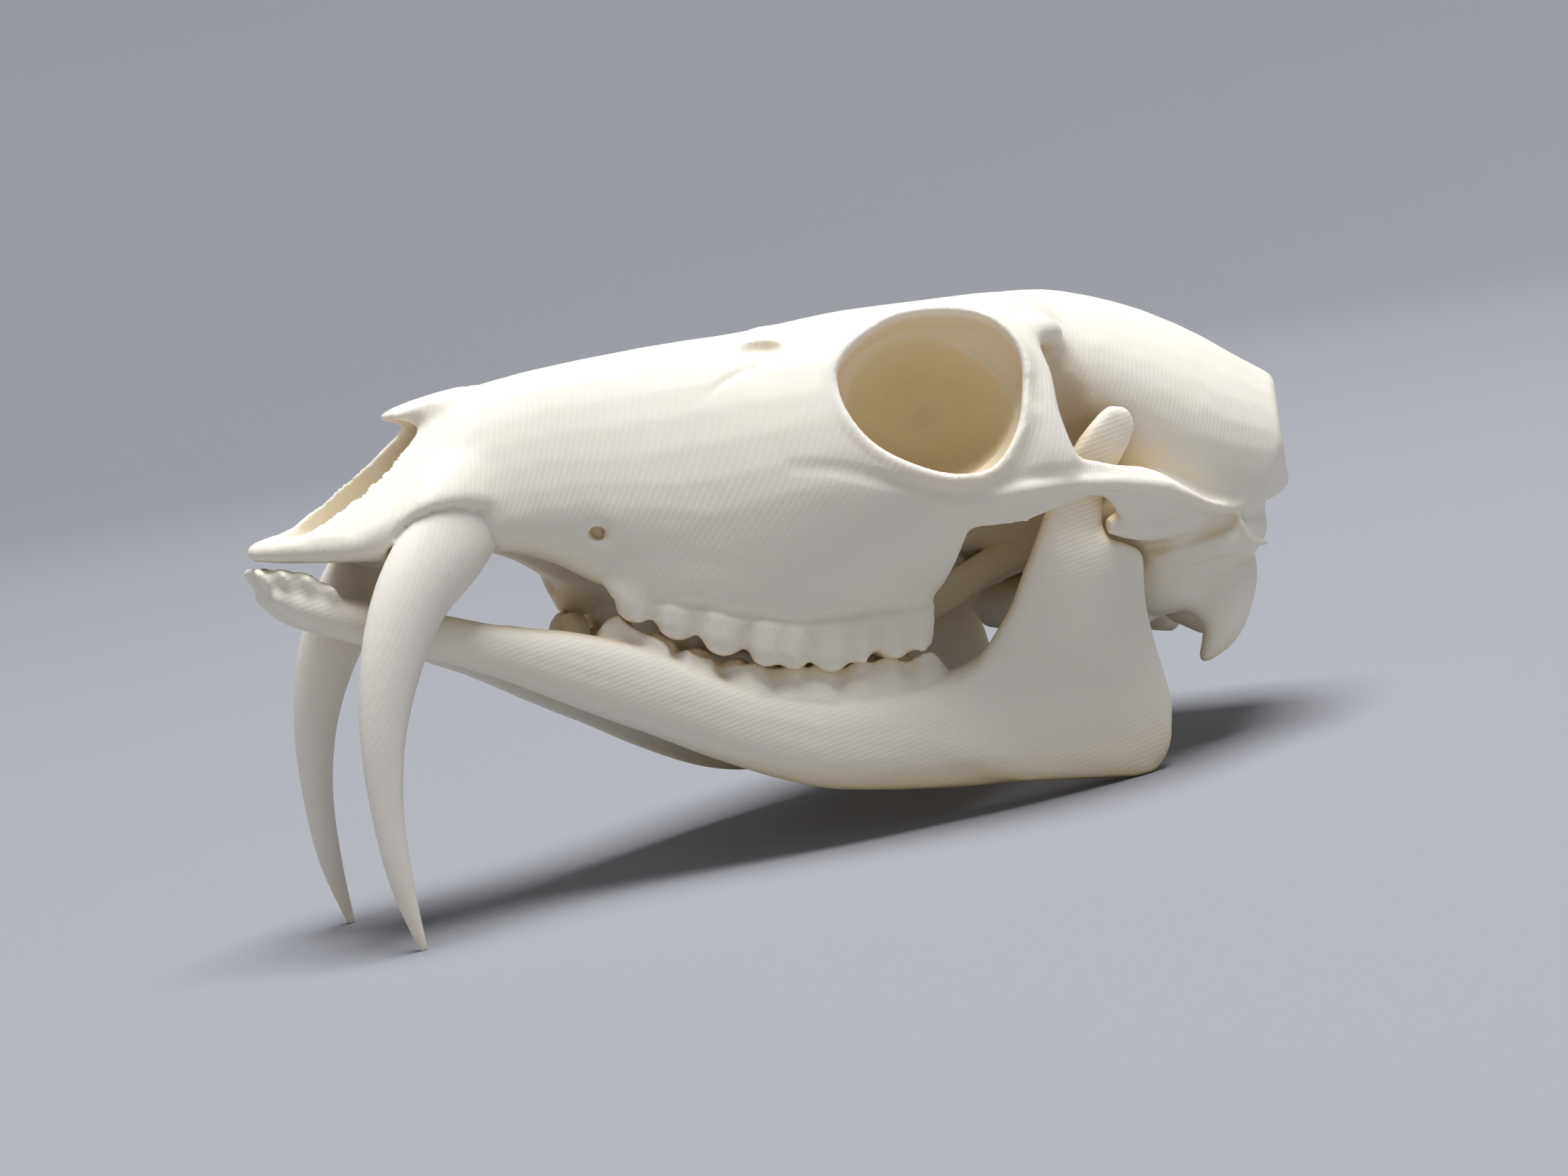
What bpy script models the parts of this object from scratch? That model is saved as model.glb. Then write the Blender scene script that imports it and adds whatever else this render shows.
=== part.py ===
"""Skull of a musk deer stag, life size, as a printed museum model: cranium, two mandibles, two canine tusks.

The skull is drawn in its own frame, in millimetres: X runs from the nose to the nape, Y to the animal's right
and Z up, with the lower border of the mandible on Z = 0. Each piece is drawn on the left side (Y below 0) and
mirrored. The finished meshes are in metres, and an empty tips the whole skull onto its tusks.
"""

import math

import bmesh
import bpy
import numpy as np
from mathutils import Matrix, Vector

MM = 0.001
GAP = 0.3  # clearance between two pieces that meet
VOXEL = 0.55  # grain at which overlapping shapes are fused
STEP = 1.2  # spacing of the rings along a lofted shape
FLAT = 0.35  # how far the resting flats are ground into tusk tips and jaw angles

CRANIUM_TRIANGLES = 10200
MANDIBLE_TRIANGLES = 2300
TUSK_SIDES = 14

# Orbit: an ellipse in a plane that faces outwards and forwards.
ORBIT_CENTRE = Vector((7.9, -27.0, 50.9))
ORBIT_AFT = Vector((0.92, -0.39, 0.0)).normalized()
ORBIT_UP = Vector((0.12, 0.29, 0.95)).normalized()
ORBIT_LENGTH = 23.4
ORBIT_HEIGHT = 21.1
ORBIT_DEPTH = 17.0
BOWL_SINK = 1.6  # the bowl is widest this far inside the rim

# Rim of the orbit, from inside the head to its crest: depth, breadth at the bar, breadth in front
COLLAR = ((10.0, 2.0, 6.0), (6.0, 2.0, 4.6), (3.0, 2.1, 3.2), (1.2, 2.1, 2.4), (0.2, 1.8, 1.9), (-0.3, 1.1, 1.1))
COLLAR_REACH = 5.0  # depth at the bar, and twice that in front
COLLAR_TOP = 0.5  # the rim's breadth at its top is this share less

# Resting points: a tusk tip in front and the jaw angle behind, each on the left side.
TUSK_TIP = Vector((-55.0, -14.6, -17.8))
JAW_ANGLE = Vector((41.5, -24.0, 1.1))

# The sleeve of bone over a tusk's root, and the front, rear and outermost points of its mouth.
SLEEVE = 1.4
MOUTH = ((-58.2, -10.6, 33.2), (-44.6, -8.6, 32.2), (-52.3, -13.2, 37.7))

BONE = "#EFE9DC"
TOOTH = "#F1ECE1"

# Face, from the premaxillae to the middle of the orbits:
# x, floor, widest height, roof, half width, half width of the flat roof and floor, fullness above and below
FACE = (
    (-72.8, 29.8, 30.5, 31.4, 1.9, 0.9, 1.1, 2.0, 2.0),
    (-71.4, 29.6, 30.6, 32.0, 4.2, 2.6, 3.0, 2.0, 2.0),
    (-69.2, 29.5, 30.9, 32.6, 6.2, 4.6, 4.6, 2.0, 2.0),
    (-66.8, 29.5, 31.3, 33.4, 7.4, 5.6, 5.6, 1.8, 2.0),
    (-62.0, 29.6, 32.0, 37.4, 9.6, 4.9, 7.2, 1.6, 2.0),
    (-57.0, 29.8, 32.8, 41.8, 10.9, 4.2, 8.4, 1.5, 2.0),
    (-51.6, 30.0, 33.6, 46.4, 11.6, 3.6, 8.8, 1.5, 2.0),
    (-47.0, 30.6, 34.4, 50.2, 11.6, 3.4, 8.4, 1.55, 2.0),
    (-42.0, 31.0, 35.4, 51.9, 11.6, 4.0, 8.0, 1.6, 2.0),
    (-36.0, 29.8, 36.2, 53.6, 12.2, 4.8, 8.2, 1.6, 1.8),
    (-29.0, 26.6, 36.0, 55.2, 14.0, 5.6, 10.2, 1.6, 1.6),
    (-20.0, 24.4, 36.0, 57.0, 17.4, 7.0, 14.4, 1.7, 1.5),
    (-12.0, 22.6, 37.4, 58.4, 21.6, 9.0, 17.8, 1.8, 1.4),
    (-4.0, 22.6, 39.2, 59.6, 25.2, 12.0, 19.4, 1.9, 1.35),
    (4.0, 23.6, 39.4, 61.0, 28.6, 15.5, 19.8, 2.0, 1.3),
    (13.0, 25.2, 38.8, 62.8, 31.4, 18.5, 19.4, 2.1, 1.3),
)

# Frontal shelf that roofs the orbits, same columns.
SHELF = (
    (-4.0, 54.0, 56.6, 59.6, 14.0, 10.0, 10.0, 2.0, 2.0),
    (4.0, 55.8, 58.6, 61.1, 21.0, 15.0, 14.0, 2.0, 2.0),
    (11.0, 56.8, 60.0, 62.6, 24.0, 18.0, 16.0, 2.0, 2.0),
    (18.0, 57.2, 60.4, 64.0, 24.4, 17.5, 15.0, 2.0, 2.0),
    (24.0, 56.4, 59.6, 64.7, 22.4, 14.0, 13.0, 2.0, 2.0),
    (30.0, 55.0, 58.6, 65.0, 19.8, 11.0, 10.0, 2.0, 2.0),
    (37.0, 53.0, 57.4, 64.8, 15.6, 8.0, 8.0, 2.0, 2.0),
)

# Braincase, with the wall between the orbits as its front end, same columns. It overhangs the temple in front.
BRAINCASE = (
    (-4.0, 34.0, 46.0, 57.0, 8.0, 4.0, 4.0, 2.0, 2.0),
    (8.0, 31.0, 50.0, 61.0, 10.6, 6.0, 6.0, 2.0, 1.7),
    (18.0, 30.5, 54.5, 63.4, 15.6, 8.0, 8.0, 2.1, 1.4),
    (26.0, 30.0, 55.0, 64.9, 19.8, 8.0, 9.0, 2.1, 1.35),
    (34.0, 30.0, 52.6, 65.8, 22.2, 7.0, 11.0, 2.0, 1.45),
    (43.0, 30.0, 48.6, 65.2, 23.6, 5.0, 12.0, 1.9, 1.65),
    (52.0, 30.0, 45.4, 63.5, 23.8, 3.6, 13.0, 1.8, 1.9),
    (60.0, 30.5, 43.8, 61.0, 22.2, 2.6, 13.0, 1.75, 2.0),
    (67.0, 31.0, 43.0, 58.1, 20.0, 2.2, 12.0, 1.7, 2.0),
    (74.0, 32.0, 42.6, 55.2, 18.6, 2.0, 10.0, 1.7, 2.0),
    (84.0, 34.0, 42.0, 51.2, 16.6, 2.0, 7.0, 1.7, 2.0),
)

# Back of the head: the crest's top, its side where it turns down, its foot, and two points of the middle line.
CREST_TOP = Vector((77.0, 0.0, 54.3))
CREST_SIDE = Vector((67.4, -17.0, 43.8))
CREST_FOOT = Vector((64.5, -17.0, 37.2))
PROTUBERANCE = Vector((79.8, 0.0, 39.2))
FORAMEN_ROOF = Vector((68.0, 0.0, 34.5))

# Zygomatic arch, from the cheek below the orbit to its root on the braincase:
# x, y of the outer ridge, top, ridge height, lower edge, thickness
ARCH = (
    (-2.0, -24.6, 42.0, 41.0, 37.0, 2.4),
    (4.0, -29.0, 41.8, 39.6, 35.0, 3.4),
    (10.1, -31.8, 41.6, 38.4, 33.4, 3.8),
    (15.1, -33.2, 43.0, 37.9, 33.4, 3.6),
    (21.1, -34.1, 44.6, 38.9, 35.6, 3.4),
    (27.1, -34.0, 43.0, 39.6, 36.8, 3.2),
    (31.6, -33.4, 42.3, 39.8, 36.6, 3.4),
    (34.9, -32.4, 42.1, 39.9, 34.4, 5.0),
    (38.4, -31.2, 41.9, 39.9, 31.6, 7.6),
    (42.0, -29.8, 41.2, 39.6, 31.2, 9.0),
    (45.6, -28.4, 39.8, 38.5, 31.8, 9.6),
    (49.6, -26.6, 38.3, 37.3, 32.9, 9.4),
    (54.2, -24.4, 37.4, 36.6, 34.0, 8.6),
    (59.0, -22.0, 37.1, 36.4, 35.2, 7.0),
    (63.6, -19.2, 37.3, 36.8, 36.0, 5.0),
)

# Mandible body, left: x, y, lower border, upper border, half thickness
JAW = (
    (-71.0, -3.0, 24.6, 26.4, 1.6),
    (-68.0, -3.6, 22.2, 26.2, 3.0),
    (-62.0, -4.2, 20.2, 25.2, 3.4),
    (-54.0, -5.2, 18.2, 24.0, 3.4),
    (-43.0, -7.0, 15.0, 21.8, 3.0),
    (-32.0, -9.4, 10.6, 20.6, 3.1),
    (-24.0, -11.2, 7.6, 18.6, 3.5),
    (-14.0, -13.8, 3.7, 14.8, 4.0),
    (-3.0, -16.8, 0.6, 12.8, 4.2),
    (8.0, -19.4, 0.1, 13.6, 4.0),
    (16.0, -21.2, 0.3, 16.4, 3.3),
    (23.0, -22.4, 0.7, 20.0, 2.5),
    (30.0, -23.2, 1.0, 21.0, 1.6),
)

# Ramus and coronoid process, left: height, front edge, rear edge, y, half thickness
RAMUS = (
    (1.0, 22.0, 42.4, -23.6, 1.5),
    (3.0, 14.0, 44.6, -23.2, 2.0),
    (8.0, 11.0, 46.0, -23.0, 2.1),
    (13.0, 13.0, 45.4, -23.0, 2.0),
    (17.0, 16.6, 43.7, -23.2, 2.0),
    (20.5, 19.0, 42.5, -23.4, 1.9),
    (24.0, 21.2, 41.4, -23.6, 1.9),
    (28.0, 22.6, 40.8, -24.0, 1.9),
    (30.0, 23.3, 40.2, -24.3, 1.7),
    (30.9, 23.6, 38.4, -24.4, 1.6),
    (31.7, 23.9, 36.0, -24.4, 1.5),
    (33.2, 24.4, 34.6, -24.5, 1.3),
    (36.0, 25.2, 34.2, -24.8, 1.2),
    (40.0, 26.8, 35.4, -25.0, 1.1),
    (44.0, 28.9, 37.6, -25.2, 1.1),
    (47.6, 32.0, 38.9, -25.2, 1.1),
    (49.8, 34.2, 37.4, -25.2, 0.9),
)

# Tusk, left: x, y, z, half width from front to back, half thickness
TUSK = (
    (-42.6, -5.6, 42.0, 4.0, 2.2),
    (-47.0, -7.8, 36.8, 5.9, 3.0),
    (-50.8, -9.8, 31.6, 5.9, 3.4),
    (-55.7, -11.7, 25.3, 4.9, 3.2),
    (-58.5, -13.0, 18.1, 4.1, 2.7),
    (-60.0, -13.9, 9.6, 3.05, 2.1),
    (-59.7, -14.4, 0.0, 2.1, 1.5),
    (-57.7, -14.6, -10.0, 1.45, 1.05),
    (TUSK_TIP.x, TUSK_TIP.y, TUSK_TIP.z, 0.45, 0.4),
)

# Upper cheek teeth, left, one row for each outer cusp: x, y, z of its tip, half length
UPPER_CUSPS = (
    (-25.6, -12.4, 21.8, 3.0),
    (-20.6, -14.4, 19.6, 3.2),
    (-15.4, -16.7, 17.6, 3.1),
    (-10.4, -18.6, 16.2, 2.5),
    (-7.0, -19.4, 15.8, 2.4),
    (-2.2, -20.2, 15.4, 2.7),
    (1.4, -20.6, 16.6, 2.4),
    (6.4, -20.8, 16.9, 2.8),
    (9.8, -20.6, 17.9, 2.2),
)

# Lower cheek teeth, left, same columns.
LOWER_CUSPS = (
    (-26.8, -8.6, 22.8, 2.3),
    (-22.6, -11.4, 20.6, 2.8),
    (-17.8, -12.8, 18.6, 2.9),
    (-13.0, -14.2, 17.4, 2.6),
    (-8.8, -15.2, 17.0, 2.6),
    (-4.2, -16.0, 16.8, 2.6),
    (0.0, -16.6, 17.0, 2.6),
    (4.4, -17.2, 17.6, 2.6),
    (8.6, -17.6, 18.0, 2.5),
    (12.6, -18.2, 17.2, 2.0),
)

# A cusp from its neck to its tip: height above the tip, share of its size, share of its lean
CUSP = ((4.0, 1.0, 1.0), (2.4, 0.98, 0.9), (1.2, 0.86, 0.6), (0.5, 0.62, 0.25), (0.0, 0.25, 0.0))

# Outer and inner cusps of the upper teeth and the lower cusps: shift inwards, half depth, lean, length to the root.
UPPER_OUTER = (0.9, 2.1, 0.8, 10.0)
UPPER_INNER = (5.6, 2.6, 0.6, 7.0)
LOWER_CUSP = (0.4, 2.0, 0.6, -9.0)
PREMOLARS = 3  # the first cusps are narrow premolars, whose inner cusp sits this much further out
PREMOLAR_SHIFT = -2.2
INNER_LIFT = 4.2  # an inner cusp is this much shorter than the outer one

# Lower incisors, left: root x, y, z and crown edge x, y, z, half width of the crown
INCISORS = (
    (-67.0, -1.8, 22.6, -72.4, -2.0, 28.7, 1.9),
    (-65.6, -2.8, 22.6, -70.2, -4.4, 28.7, 1.8),
    (-64.2, -3.6, 22.6, -67.6, -5.9, 28.2, 1.7),
    (-62.6, -4.2, 22.8, -64.8, -6.7, 26.9, 1.7),
)


def clear_scene():
    for old in list(bpy.data.objects):
        bpy.data.objects.remove(old)


def new_collection(name):
    made = bpy.data.collections.new(name)
    bpy.context.scene.collection.children.link(made)
    return made


def mesh_object(name, points, faces):
    mesh = bpy.data.meshes.new(name)
    mesh.from_pydata([tuple(p) for p in points], [], faces)
    shape = bmesh.new()
    shape.from_mesh(mesh)
    bmesh.ops.recalc_face_normals(shape, faces=shape.faces)
    shape.to_mesh(mesh)
    shape.free()
    made = bpy.data.objects.new(name, mesh)
    bpy.context.scene.collection.objects.link(made)
    return made


def flow(stations, step=STEP, by_length=False):
    """Rows about a step apart on the smooth curve through the stations, which is measured along x or its length."""
    rows = np.array(stations, float)
    along = rows[:, 0]
    if by_length:
        along = np.concatenate(([0.0], np.cumsum(np.linalg.norm(np.diff(rows[:, :3], axis=0), axis=1))))
    slope = np.gradient(rows, along, axis=0)
    made = []
    for i, span in enumerate(np.diff(along)):
        for t in np.arange(0, 1, 1 / max(1, round(abs(span) / step))):
            start = (1 + 2 * t) * (1 - t) ** 2 * rows[i] + t * (1 - t) ** 2 * span * slope[i]
            end = t * t * (3 - 2 * t) * rows[i + 1] + t * t * (t - 1) * span * slope[i + 1]
            made.append(start + end)
    return made + [rows[-1]]


def loft(name, rings):
    """A closed body through rings with the same number of points, each end closed round its middle."""
    count = len(rings[0])
    points = [p for ring in rings for p in ring]
    faces = []
    for a in range(0, (len(rings) - 1) * count, count):
        for i in range(count):
            j = (i + 1) % count
            faces.append((a + i, a + j, a + count + j, a + count + i))
    for ring, start in ((rings[0], 0), (rings[-1], (len(rings) - 1) * count)):
        middle = len(points)
        points.append(np.mean(ring, axis=0))
        faces += [(start + i, start + (i + 1) % count, middle) for i in range(count)]
    return mesh_object(name, points, faces)


def quarter(fullness, corner=8):
    """Points of a superellipse from its side to its top: fullness 1 is a straight slope, 2 a circle."""
    turn = np.linspace(0, math.pi / 2, corner)
    return [(max(0.0, math.cos(t)) ** (2 / fullness), math.sin(t) ** (2 / fullness)) for t in turn]


def hull_ring(x, floor, widest, roof, half, roof_half, floor_half, above, below):
    """A cross-section: flat roof, rounded side down to its widest, and in again to a flat floor."""
    side = [(floor_half + (half - floor_half) * c, widest - (widest - floor) * s) for c, s in quarter(below)[:0:-1]]
    side += [(roof_half + (half - roof_half) * c, widest + (roof - widest) * s) for c, s in quarter(above)]
    return [(x, y, z) for y, z in side] + [(x, -y, z) for y, z in side[::-1]]


def hull(name, stations):
    return loft(name, [hull_ring(*row) for row in flow(stations)])


def limb(name, stations, across=(0, 1, 0), step=STEP, sides=16):
    """A tapered rod of oval section through x, y, z, half width, half thickness, with the thickness across."""
    rows = np.array(flow(stations, step, by_length=True))
    run = np.gradient(rows[:, :3], axis=0)
    rings = []
    for row, along in zip(rows, run):
        along = along / np.linalg.norm(along)
        thin = np.array(across, float)
        thin = thin - along * thin.dot(along)
        thin /= np.linalg.norm(thin)
        wide = np.cross(along, thin)
        turn = np.linspace(0, 2 * math.pi, sides, endpoint=False)
        rings.append([row[:3] + row[3] * math.cos(a) * wide + row[4] * math.sin(a) * thin for a in turn])
    return loft(name, rings)


def ball(name, centre, radii, turn=Matrix.Identity(3), segments=32):
    mesh = bpy.data.meshes.new(name)
    shape = bmesh.new()
    bmesh.ops.create_uvsphere(shape, u_segments=segments, v_segments=segments // 2, radius=1)
    shape.transform(Matrix.Translation(centre) @ turn.to_4x4() @ Matrix.Diagonal((*radii, 1)))
    bmesh.ops.recalc_face_normals(shape, faces=shape.faces)
    shape.to_mesh(mesh)
    shape.free()
    made = bpy.data.objects.new(name, mesh)
    bpy.context.scene.collection.objects.link(made)
    return made


def box(name, low, high):
    mesh = bpy.data.meshes.new(name)
    shape = bmesh.new()
    bmesh.ops.create_cube(shape, size=1)
    low, high = Vector(low), Vector(high)
    shape.transform(Matrix.Translation((low + high) / 2) @ Matrix.Diagonal((*(high - low), 1)))
    shape.to_mesh(mesh)
    shape.free()
    made = bpy.data.objects.new(name, mesh)
    bpy.context.scene.collection.objects.link(made)
    return made


def half_space(name, a, b, c, reach=60.0):
    """A block whose face lies on the plane through three points, on the side from which they run anticlockwise."""
    a, b, c = Vector(a), Vector(b), Vector(c)
    out = (b - a).cross(c - a).normalized()
    along = (b - a).normalized()
    turn = Matrix((along, out.cross(along), out)).transposed().to_4x4()
    made = box(name, (-reach, -reach, 0), (reach, reach, reach))
    made.data.transform(Matrix.Translation((a + b + c) / 3) @ turn)
    return made


def mirrored(shape):
    """The same piece on the other side, facing outwards as well."""
    other = shape.copy()
    other.data = shape.data.copy()
    other.data.transform(Matrix.Scale(-1, 4, (0, 1, 0)))
    other.data.flip_normals()
    bpy.context.scene.collection.objects.link(other)
    return other


def both_sides(pieces):
    return [p for piece in pieces for p in (piece, mirrored(piece))]


def apply_modifier(shape, kind, **settings):
    modifier = shape.modifiers.new(kind.title(), kind)
    for key, value in settings.items():
        setattr(modifier, key, value)
    graph = bpy.context.evaluated_depsgraph_get()
    mesh = bpy.data.meshes.new_from_object(shape.evaluated_get(graph))
    shape.modifiers.clear()
    shape.data = mesh
    return shape


def joined(name, pieces):
    """All the pieces as one mesh, not yet fused."""
    shape = bmesh.new()
    for piece in pieces:
        shape.from_mesh(piece.data)
        bpy.data.objects.remove(piece)
    mesh = bpy.data.meshes.new(name)
    shape.to_mesh(mesh)
    shape.free()
    made = bpy.data.objects.new(name, mesh)
    bpy.context.scene.collection.objects.link(made)
    return made


def fused(name, pieces, voxel=VOXEL):
    made = joined(name, pieces)
    return apply_modifier(made, "REMESH", mode="VOXEL", voxel_size=voxel, adaptivity=0.0)


def cut(shape, cutters, solver="EXACT"):
    """Takes each cutter out of the shape."""
    for cutter in cutters:
        apply_modifier(shape, "BOOLEAN", operation="DIFFERENCE", object=cutter, solver=solver)
        bpy.data.objects.remove(cutter)
    return shape


def smooth(shape, rounds, factor=0.5):
    return apply_modifier(shape, "SMOOTH", factor=factor, iterations=rounds)


def thin_out(shape, triangles):
    """Fewer triangles, with the largest closed surface kept."""
    apply_modifier(shape, "TRIANGULATE")
    ratio = triangles / len(shape.data.polygons)
    apply_modifier(shape, "DECIMATE", ratio=ratio)
    return keep_largest(shape)


def keep_largest(shape):
    body = bmesh.new()
    body.from_mesh(shape.data)
    left = set(body.faces)
    islands = []
    while left:
        stack = [left.pop()]
        island = list(stack)
        while stack:
            for edge in stack.pop().edges:
                for face in edge.link_faces:
                    if face in left:
                        left.discard(face)
                        stack.append(face)
                        island.append(face)
        islands.append(island)
    islands.sort(key=len)
    loose = [face for island in islands[:-1] for face in island]
    bmesh.ops.delete(body, geom=loose, context="FACES")
    body.to_mesh(shape.data)
    body.free()
    return shape


def nasal_tips():
    spike = ((-43.0, -2.4, 50.0, 2.2, 2.6), (-48.0, -2.4, 49.0, 1.9, 2.2), (-52.2, -2.3, 48.2, 1.3, 1.7),
             (-55.8, -2.0, 47.4, 0.6, 0.8))
    return both_sides([limb("nasal", spike)])


def nasal_cavity():
    """The open nose: the face drawn in by a wall all round, and roofed by the nasals further back."""
    return hull("nasal_cavity", (
        (-70.6, 31.4, 32.4, 36.0, 1.6, 1.2, 0.8, 2.0, 2.0), (-66.8, 31.4, 33.0, 36.4, 4.4, 3.8, 2.4, 2.0, 2.0),
        (-62.0, 31.5, 33.6, 39.6, 6.0, 3.4, 3.4, 1.8, 2.0), (-57.0, 31.8, 34.4, 44.0, 6.6, 2.8, 4.0, 1.6, 2.0),
        (-51.6, 32.4, 35.4, 47.0, 5.6, 2.2, 3.6, 1.5, 2.0), (-46.0, 33.6, 37.0, 47.6, 4.6, 2.0, 3.0, 1.5, 2.0),
        (-36.0, 36.0, 39.0, 47.0, 3.0, 1.6, 2.0, 2.0, 2.0)))


def arch_ring(x, outer, top, ridge, low, thick):
    """A wedge with its sharp ridge outwards."""
    return [
        (x, outer + 0.55 * thick, top),
        (x, outer + 0.12 * thick, 0.45 * top + 0.55 * ridge),
        (x, outer, ridge),
        (x, outer + 0.35 * thick, 0.5 * ridge + 0.5 * low),
        (x, outer + 0.9 * thick, low),
        (x, outer + 1.2 * thick, 0.7 * low + 0.3 * top),
        (x, outer + 1.1 * thick, 0.2 * low + 0.8 * top),
    ]


def zygomatic_arch():
    return loft("arch", [arch_ring(*row) for row in flow(ARCH)])


def postorbital_bar():
    bar = ((16.3, -20.8, 60.6, 3.6, 2.2), (20.3, -24.2, 58.8, 3.2, 2.2), (21.7, -28.6, 53.0, 2.7, 1.8),
           (21.5, -31.2, 47.6, 2.8, 1.8), (21.1, -32.2, 43.0, 4.6, 2.0), (20.7, -32.2, 40.0, 6.4, 2.0))
    return limb("postorbital_bar", bar, across=(0.3, 1, 0))


def orbit_turn():
    """Axes of the orbit: aft, up and inwards."""
    inwards = ORBIT_UP.cross(ORBIT_AFT)
    return Matrix((ORBIT_AFT, ORBIT_UP, inwards)).transposed()


def orbit_collar():
    """The raised rim all round the opening, flared into the face in front and thin at the bar behind."""
    turn = orbit_turn()
    sides = 60
    rings = []
    for depth, thin, thick in COLLAR:
        ring = []
        for a in np.linspace(0, 2 * math.pi, sides, endpoint=False):
            fore = (1 - math.cos(a)) / 2
            flare = (thin + (thick - thin) * fore) * (1 - COLLAR_TOP * max(0.0, math.sin(a)))
            reach = min(depth, COLLAR_REACH * (1 + fore))
            spot = Vector(((ORBIT_LENGTH / 2 + flare) * math.cos(a), (ORBIT_HEIGHT / 2 + flare) * math.sin(a), reach))
            ring.append(ORBIT_CENTRE + turn @ spot)
        rings.append(ring)
    return loft("orbit_collar", rings)


def orbit_bowl():
    inwards = orbit_turn().col[2]
    radii = (ORBIT_LENGTH / 2, ORBIT_HEIGHT / 2, ORBIT_DEPTH)
    return ball("orbit_bowl", ORBIT_CENTRE + inwards * BOWL_SINK, radii, orbit_turn(), segments=48)


def orbit_back():
    """The wall between the orbit and the temple."""
    return ball("orbit_back", (16.4, -18.4, 48.0), (7.2, 10.6, 12.0))


def tusk_sleeve():
    """The root of the tusk shows as a swelling of the bone, cut off along the socket's mouth."""
    sleeve = limb("sleeve", [(x, y, z, wide + SLEEVE, thick + SLEEVE) for x, y, z, wide, thick in TUSK[:4]])
    return cut(sleeve, [half_space("mouth", *MOUTH)], "MANIFOLD")


def squamosal_root():
    """The shelf that carries the jaw joint."""
    root = ((46.0, -12.0, 35.6, 9.0, 3.6), (44.4, -18.0, 35.0, 8.6, 3.2), (42.6, -22.0, 35.2, 6.6, 3.2),
            (42.0, -24.0, 36.0, 5.0, 2.6))
    return limb("squamosal_root", root, across=(0, 0, 1))


def ear_region():
    """Bulla and mastoid, behind the jaw joint."""
    bulla = ball("bulla", (48.6, -14.6, 27.6), (8.4, 5.8, 5.8))
    mastoid = ((43.4, -17.6, 29.6, 2.2, 3.2), (49.0, -17.4, 30.6, 3.4, 4.8), (55.0, -16.6, 32.0, 4.2, 5.4),
               (61.0, -14.4, 34.2, 4.4, 5.0), (65.0, -12.0, 36.4, 3.8, 4.0))
    petrous = ball("petrous", (54.0, -11.0, 34.0), (13.0, 9.0, 5.0))
    return [bulla, petrous, limb("mastoid", mastoid)]


def paroccipital_process():
    """The blade behind the ear, hooked forwards at its tip."""
    blade = ((57.0, -14.6, 34.0, 6.6, 3.4), (56.8, -16.2, 29.0, 6.6, 3.0), (57.0, -17.0, 24.0, 5.8, 2.2),
             (57.0, -17.6, 20.4, 3.6, 1.5), (55.4, -17.4, 17.4, 1.8, 1.4), (53.8, -17.2, 15.5, 0.9, 0.9))
    return limb("paroccipital", blade)


def crest_cuts():
    """Planes that trim the back of the head to its crest and middle ridge, and undercut it to the foramen."""
    nape = half_space("nape_cut", CREST_TOP, CREST_SIDE, PROTUBERANCE)
    flank = half_space("flank_cut", PROTUBERANCE, CREST_SIDE, CREST_FOOT)
    undercut = half_space("undercut", PROTUBERANCE, CREST_FOOT, FORAMEN_ROOF)
    return both_sides([nape, flank, undercut])


def condyle_ledge():
    """The thin lip between the end of the crest and the condyle."""
    ledge = ((60.0, -16.8, 35.4, 1.1, 1.1), (62.6, -15.6, 32.6, 1.1, 1.1), (66.0, -12.8, 31.9, 1.0, 1.0),
             (69.6, -10.2, 31.9, 0.6, 0.6))
    return limb("ledge", ledge)


def condyle():
    return ball("condyle", (65.8, -7.8, 27.6), (4.8, 4.4, 5.2))


def basicranium():
    """The keel of the skull base, from the choanae to the condyles."""
    return hull("basicranium", (
        (20.0, 30.0, 32.0, 36.0, 5.0, 3.0, 2.0, 2.0, 2.0), (34.0, 28.0, 30.5, 36.0, 6.5, 4.0, 2.6, 2.0, 2.0),
        (46.0, 26.4, 29.5, 36.0, 8.0, 5.0, 3.4, 2.0, 2.0), (56.0, 25.0, 28.5, 36.0, 9.4, 6.0, 4.6, 2.0, 2.0),
        (66.0, 24.6, 28.0, 34.0, 9.0, 5.0, 4.0, 2.0, 2.0)))


def pterygoid():
    """The thin plate beside the choana, from the palate up to the skull base."""
    plate = ((12.0, -7.4, 26.6, 3.6, 1.2), (18.0, -7.2, 25.6, 3.0, 1.1), (24.0, -7.2, 26.9, 2.6, 1.1),
             (30.0, -7.6, 29.6, 2.8, 1.2), (36.0, -8.2, 32.0, 3.4, 1.6))
    return limb("pterygoid", plate)


def palate_vault():
    return hull("palate_vault", (
        (-60.0, 20.0, 26.0, 30.2, 3.0, 1.6, 1.6, 2.0, 2.0), (-46.0, 20.0, 26.0, 31.6, 5.0, 3.0, 3.0, 2.0, 2.0),
        (-30.0, 16.0, 22.0, 30.0, 6.4, 3.4, 4.0, 2.0, 2.0), (-12.0, 12.0, 20.0, 29.4, 9.6, 4.0, 6.0, 2.0, 2.0),
        (4.0, 12.0, 20.0, 28.6, 11.6, 5.0, 7.0, 2.0, 2.0), (16.0, 12.0, 20.0, 28.0, 12.0, 5.0, 7.0, 2.0, 2.0)))


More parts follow.
